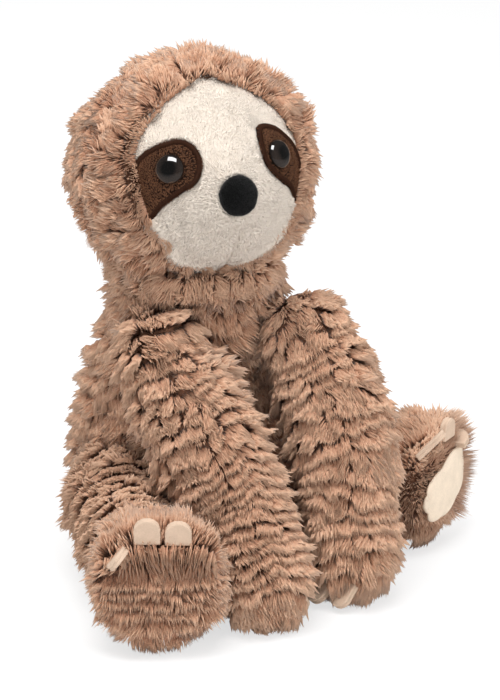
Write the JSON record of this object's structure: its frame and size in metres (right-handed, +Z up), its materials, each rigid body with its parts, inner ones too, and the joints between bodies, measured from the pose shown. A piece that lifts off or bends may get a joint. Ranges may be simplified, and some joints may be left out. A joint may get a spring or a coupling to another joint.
{
  "type": "plush sloth",
  "caption": "Seated plush sloth with ribbed brown fur, a cream face with dark eye patches and glossy eyes, long arms to the floor, cloth claws and turning head, arms and legs.",
  "frame": {"origin": "middle of the flat seat, on the plane that the toy rests on", "axes": "+Z up; the toy faces -Y; its left side is towards +X"},
  "size_m": [0.2318, 0.1967, 0.25],
  "materials": {
    "brown_fur": "long ribbed plush pile, brown with light tips",
    "face_cloth": "short brushed plush pile, cream",
    "eye_patch": "embroidered, brown thread with a dark satin edge",
    "eye": "polished dome, dark with a brown ring",
    "washer": "moulded",
    "nose": "flocked, stitched round its edge, black",
    "claw": "suede-like cloth, stitched edge",
    "sole": "smooth suede-like cloth, bare",
    "stuffing": "loose polyester fibre",
    "pellets": "cloth bag of pellets"
  },
  "bodies": {
    "torso": {"body_fur": "brown_fur", "body_stuffing": "stuffing", "pellet_bag": "pellets"},
    "neck": {"neck_wad": "stuffing"},
    "head": {"eye_patch_left": "eye_patch", "eye_patch_right": "eye_patch", "eye_left": "eye", "eye_right": "eye", "eye_washer_left": "washer", "eye_washer_right": "washer", "head_fur": "brown_fur", "face_panel": "face_cloth", "head_stuffing": "stuffing", "nose_pad": "nose"},
    "arm_right": {"arm_right_fur": "brown_fur", "arm_right_stuffing": "stuffing", "arm_right_claw_1": "claw", "arm_right_claw_2": "claw", "arm_right_claw_3": "claw"},
    "arm_left": {"arm_left_fur": "brown_fur", "arm_left_stuffing": "stuffing", "arm_left_claw_1": "claw", "arm_left_claw_2": "claw", "arm_left_claw_3": "claw"},
    "leg_right": {"leg_right_fur": "brown_fur", "leg_right_stuffing": "stuffing", "leg_right_claw_1": "claw", "leg_right_claw_2": "claw", "leg_right_claw_3": "claw"},
    "leg_left": {"leg_left_fur": "brown_fur", "leg_left_stuffing": "stuffing", "leg_left_claw_1": "claw", "leg_left_claw_2": "claw", "leg_left_claw_3": "claw", "sole_patch": "sole"}
  },
  "joints": [
    {"name": "head_nod", "type": "hinge", "parent": "torso", "child": "neck", "pos_m": [-0.0095, -0.04, 0.197], "axis": [1, 0, 0], "range_deg": [-15, 12]},
    {"name": "head_turn", "type": "hinge", "parent": "neck", "child": "head", "pos_m": [-0.0095, -0.04, 0.197], "axis": [0, 0, 1], "range_deg": [-35, 35]},
    {"name": "arm_right_swing", "type": "hinge", "parent": "torso", "child": "arm_right", "pos_m": [-0.035, -0.058, 0.116], "axis": [-1, 0, 0], "range_deg": [0, 70]},
    {"name": "arm_left_swing", "type": "hinge", "parent": "torso", "child": "arm_left", "pos_m": [0.037, -0.062, 0.116], "axis": [-1, 0, 0], "range_deg": [0, 70]},
    {"name": "leg_right_turn", "type": "hinge", "parent": "torso", "child": "leg_right", "pos_m": [-0.036, -0.02, 0.035], "axis": [0, 0, -1], "range_deg": [0, 35]},
    {"name": "leg_left_turn", "type": "hinge", "parent": "torso", "child": "leg_left", "pos_m": [0.036, -0.02, 0.035], "axis": [0, 0, 1], "range_deg": [-20, 8]}
  ]
}
